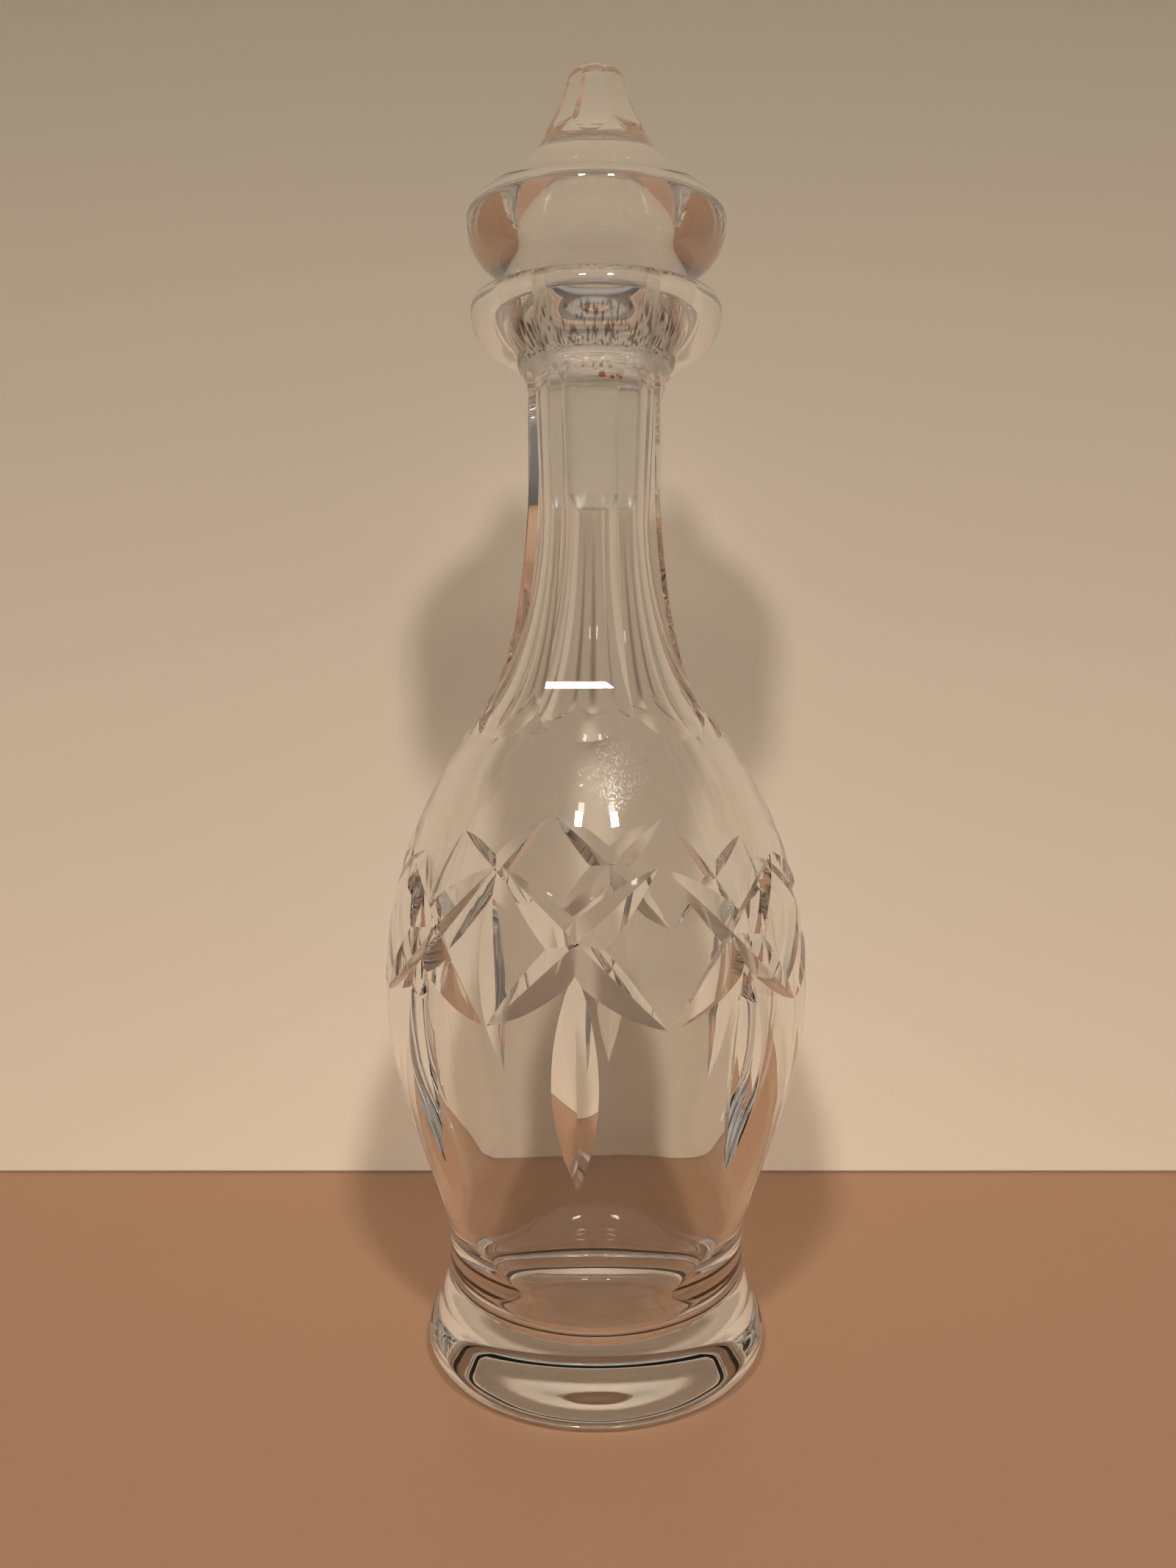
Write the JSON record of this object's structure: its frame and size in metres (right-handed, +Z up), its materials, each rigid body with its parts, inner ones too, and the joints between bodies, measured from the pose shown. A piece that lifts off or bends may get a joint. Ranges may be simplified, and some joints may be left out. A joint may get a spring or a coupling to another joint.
{
  "type": "cut glass decanter",
  "caption": "Tall cut glass decanter with a flared foot, star and leaf cutting, a fluted neck and a ground glass stopper that lifts out.",
  "frame": {"origin": "centre of the foot's ground ring, on the surface the decanter stands on", "axes": "+Z up along the axis of the bottle and stopper; -Y is the front of the cut pattern"},
  "size_m": [0.1096, 0.1096, 0.3299],
  "materials": {
    "crystal": "clear lead crystal, polished, with a faint milky deposit inside the mouth",
    "stopper_crystal": "clear lead crystal, polished, with a finely ground plug"
  },
  "bodies": {
    "bottle": {"decanter_body": "crystal"},
    "stopper": {"stopper": "stopper_crystal"}
  },
  "joints": [
    {"name": "stopper_lift", "type": "slide", "parent": "bottle", "child": "stopper", "axis": [0, 0, 1], "range_m": [0, 0.08]}
  ]
}
